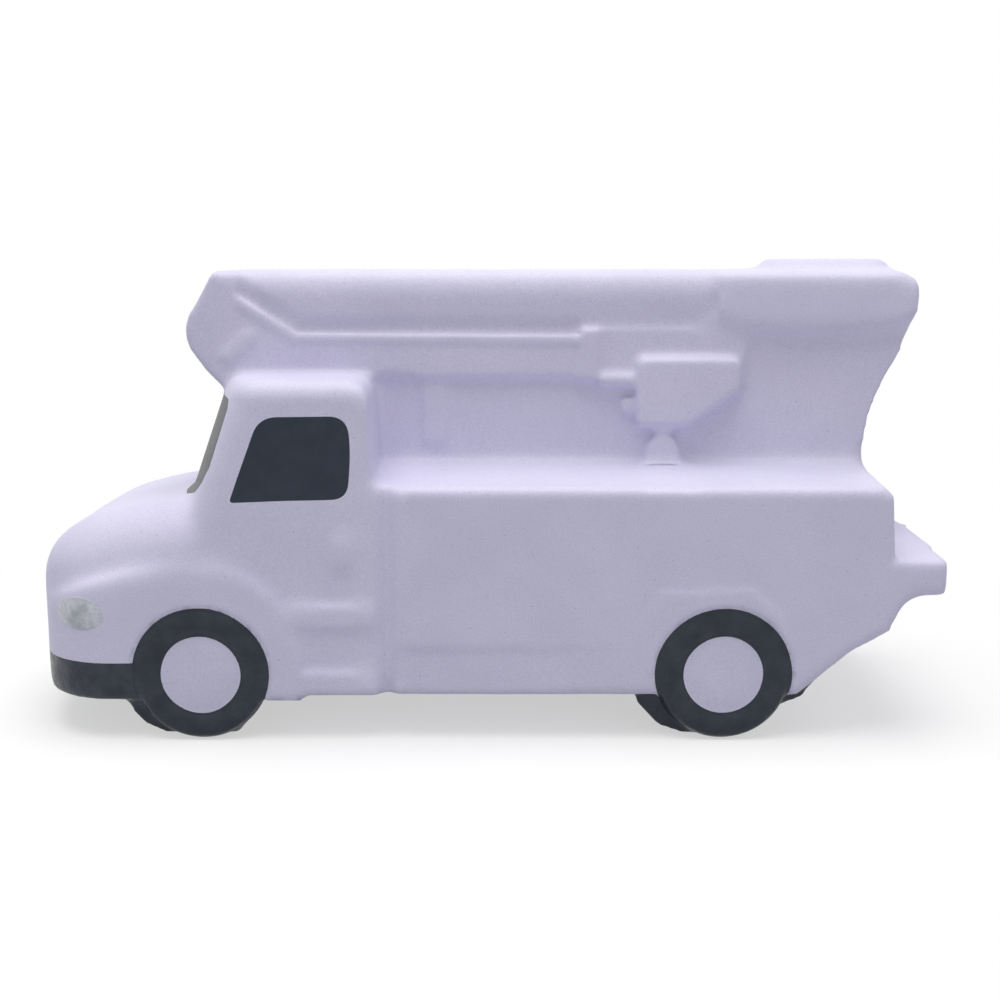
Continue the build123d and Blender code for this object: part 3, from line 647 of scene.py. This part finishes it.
def windscreen_material():
    material, tree, shader = started("windscreen", 0.5, 0.4)
    place = own_place(tree)
    tone = ranged(tree, clouds(tree, place, 200.0, 3.0), 0.35, 0.65, 0.0, 1.0)
    # Grey tone of the paint, lightened in part as painted reflection
    colour = mixed(tree, tone, SCREEN_PAINT_AND_REFLECTION_DEEP, SCREEN_PAINT_AND_REFLECTION_PALE)
    speckle = ranged(tree, clouds(tree, place, 4600.0, 1.0), 0.5, 0.64, 0.0, 0.6)
    colour = mixed(tree, speckle, colour, SCREEN_SPECKLE)
    tree.links.new(colour, shader.inputs["Base Color"])
    heights, _ = foam_heights(tree, place)
    relief(tree, shader, heights, 0.00003)
    return material


def headlight_material():
    material, tree, shader = started("headlight", 0.33, 0.5)
    shader.inputs["Metallic"].default_value = 0.35
    place = own_place(tree)
    _, flake = cells(tree, place, 3000.0)
    colour = mixed(tree, flake, SILVER_DEEP, SILVER_PALE)
    thin = ranged(tree, clouds(tree, place, 420.0, 4.0), 0.5, 0.68, 0.0, 0.7)
    colour = mixed(tree, thin, colour, SILVER_THIN)
    tree.links.new(colour, shader.inputs["Base Color"])
    relief(tree, shader, flake, 0.000006)
    return material


foam = foam_material()
paint = paint_material("paint", (0.012, 0.019, 0.031), (0.026, 0.036, 0.053), 0.31)
bumper_paint = paint_material("bumper_paint", (0.015, 0.022, 0.035), (0.042, 0.053, 0.073), 0.3)
window_paint = paint_material("window_paint", (0.015, 0.025, 0.041), (0.021, 0.032, 0.05), 0.42)
by_slot = {
    "foam_body": foam,
    "tyre_paint": paint,
    "bumper_paint": bumper_paint,
    "axle_paint": paint,
    "window_paint": window_paint,
    "headlight_paint": headlight_material(),
    "windscreen_paint": windscreen_material(),
}


# Thin films that a cut leaves behind come off
def without_films(mesh):
    form = bmesh.new()
    form.from_mesh(mesh)
    form.faces.index_update()
    seen = set()
    films = []
    for first in form.faces:
        if first.index in seen:
            continue
        seen.add(first.index)
        island = [first]
        volume = 0.0
        for face in island:
            volume += face.calc_center_median().dot(face.normal) * face.calc_area() / 3.0
            for edge in face.edges:
                for other in edge.link_faces:
                    if other.index not in seen:
                        seen.add(other.index)
                        island.append(other)
        if abs(volume) < FILM_VOLUME:
            films += island
    if films:
        bmesh.ops.delete(form, geom=films, context="FACES")
        form.to_mesh(mesh)
    form.free()


# Each piece gets the finish of its slot, the uncut skin's normals and its body
for name, piece in pieces.items():
    mesh = piece.data
    without_films(mesh)
    mesh.name = piece.name
    mesh.materials.clear()
    mesh.materials.append(by_slot[slot_of[name]])
    mesh.polygons.foreach_set("material_index", np.zeros(len(mesh.polygons), np.int32))
    mesh.polygons.foreach_set("use_smooth", np.ones(len(mesh.polygons), bool))
    corner_normals = np.empty(len(mesh.loops) * 3, np.float32)
    mesh.attributes[CARRIED].data.foreach_get("vector", corner_normals)
    mesh.normals_split_custom_set(corner_normals.reshape(-1, 3).tolist())
    mesh.attributes.remove(mesh.attributes[CARRIED])
    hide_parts(name)
    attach(piece, "root")


def seen_by_eye(tree):
    path = put(tree, "ShaderNodeLightPath")
    return math_of(tree, "MAXIMUM", path.outputs["Is Camera Ray"], path.outputs["Is Glossy Ray"])


# Floor: pale near the toy, with its shadow, and white farther away
floor_mesh = bpy.data.meshes.new("floor")
floor_mesh.from_pydata([(-3, -3, 0), (3, -3, 0), (3, 3, 0), (-3, 3, 0)], [], [(0, 1, 2, 3)])
floor = placed("floor", floor_mesh)
floor_material = bpy.data.materials.new("floor")
floor_material.use_nodes = True
tree = floor_material.node_tree
tree.nodes.clear()
place = own_place(tree)
seen = seen_by_eye(tree)
paper = clouds(tree, place, 30.0, 3.0)
pale = mixed(tree, paper, (0.9, 0.9, 0.91, 1.0), (0.94, 0.94, 0.95, 1.0))
grey = mixed(tree, seen, (0.52, 0.52, 0.55, 1.0), pale)
matt = put(tree, "ShaderNodeBsdfDiffuse", [("Color", grey)])
white = put(tree, "ShaderNodeEmission", [("Color", WHITE), ("Strength", 1.0)])
away = put(tree, "ShaderNodeVectorMath", [(0, place)], operation="LENGTH").outputs["Value"]
fade = times(tree, ranged(tree, away, 0.06, 0.12, 0.55, 1.0), seen)
both = put(tree, "ShaderNodeMixShader", [(0, fade), (1, matt.outputs[0]), (2, white.outputs[0])])
put(tree, "ShaderNodeOutputMaterial", [("Surface", both.outputs[0])])
floor_mesh.materials.append(floor_material)

# World: soft even light, white to the eye
world = bpy.data.worlds.new("world")
scene.world = world
world.use_nodes = True
tree = world.node_tree
tree.nodes.clear()
seen = seen_by_eye(tree)
soft = put(tree, "ShaderNodeBackground", [(0, (0.95, 0.96, 1.0, 1.0)), (1, 0.5)])
white = put(tree, "ShaderNodeBackground", [(0, WHITE), (1, 1.0)])
both = put(tree, "ShaderNodeMixShader", [(0, seen), (1, soft.outputs[0]), (2, white.outputs[0])])
put(tree, "ShaderNodeOutputWorld", [("Surface", both.outputs[0])])

# A large soft lamp overhead, aimed at the middle of the toy
lamp_data = bpy.data.lights.new("lamp", "AREA")
lamp_data.shape = "DISK"
lamp_data.size = 0.5
lamp_data.energy = 2.5
lamp_data.color = (1.0, 0.99, 0.955)
lamp = bpy.data.objects.new("lamp", lamp_data)
scene.collection.objects.link(lamp)
lamp.location = (-0.02, -0.05, 0.55)
aim = Vector((0.0, 0.0, 0.03)) - lamp.location
lamp.rotation_euler = aim.to_track_quat("-Z", "Y").to_euler()
